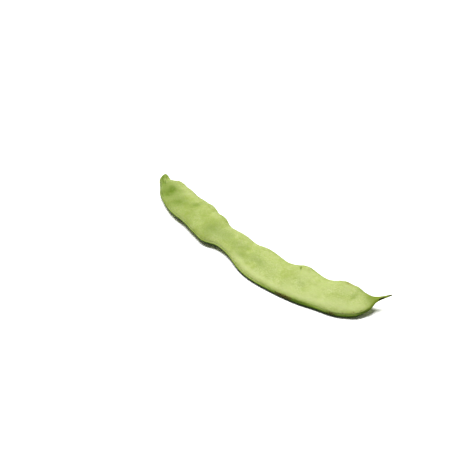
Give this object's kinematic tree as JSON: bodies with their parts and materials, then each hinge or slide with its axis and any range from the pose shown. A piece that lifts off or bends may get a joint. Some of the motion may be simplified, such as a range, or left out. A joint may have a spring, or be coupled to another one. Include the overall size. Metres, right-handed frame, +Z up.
{
  "type": "flat bean",
  "caption": "Fresh flat bean pod, broad and pale green, bent like a sickle, with a wavy back seam, a stem stub and a thin curved beak, lying on a surface.",
  "frame": {"origin": "middle of the pod's outline, on the surface that it lies on", "axes": "+X from the stem end to the beak, +Y towards the side of the wavy back seam, +Z up, away from the surface that it lies on"},
  "size_m": [0.2026, 0.042, 0.0114],
  "materials": {
    "pod_skin": "satin fresh green pod skin, paler on its face and darker along its seams"
  },
  "bodies": {
    "root": {"pod": "pod_skin"}
  },
  "joints": []
}
